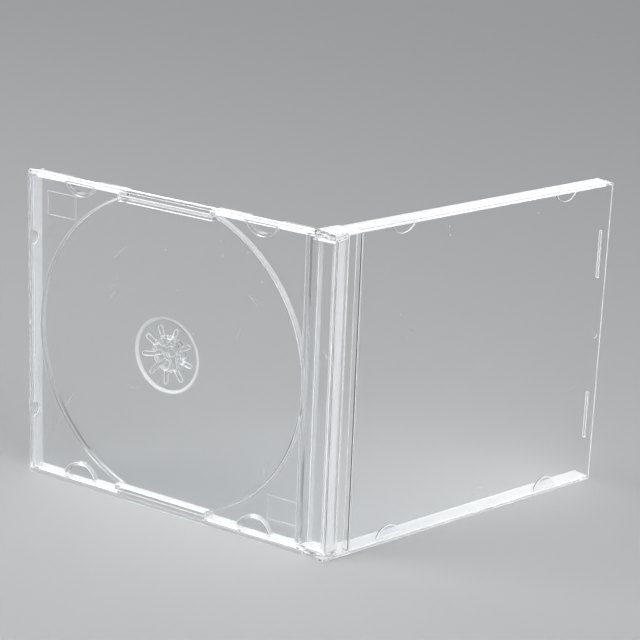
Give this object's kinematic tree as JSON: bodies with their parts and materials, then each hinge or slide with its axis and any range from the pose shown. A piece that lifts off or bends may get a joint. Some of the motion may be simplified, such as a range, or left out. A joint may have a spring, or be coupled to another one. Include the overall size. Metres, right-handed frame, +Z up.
{
  "type": "disc case",
  "caption": "Clear plastic hinged case for a 12 cm disc, with a snap-in tray whose slotted hub grips the disc; the lid swings on moulded pins.",
  "frame": {"origin": "on the hinge line, at the level of the surface that the open case stands on, at the lower ear's outer face", "axes": "+Z up along the hinge line; the base runs towards -X with its back facing -Y; the open lid runs towards +Y and a little +X"},
  "size_m": [0.1831, 0.1383, 0.125],
  "materials": {
    "base": "clear moulded polystyrene, polished",
    "disc_tray": "clear moulded polystyrene, polished",
    "lid": "clear moulded polystyrene, polished"
  },
  "bodies": {
    "base": {"base": "base", "disc_tray": "disc_tray"},
    "lid": {"lid": "lid"}
  },
  "joints": [
    {"name": "lid_hinge", "type": "hinge", "parent": "base", "child": "lid", "pos_m": [0, 0, 0.0625], "axis": [0, 0, -1], "range_deg": [-107.1, 72.9]}
  ]
}
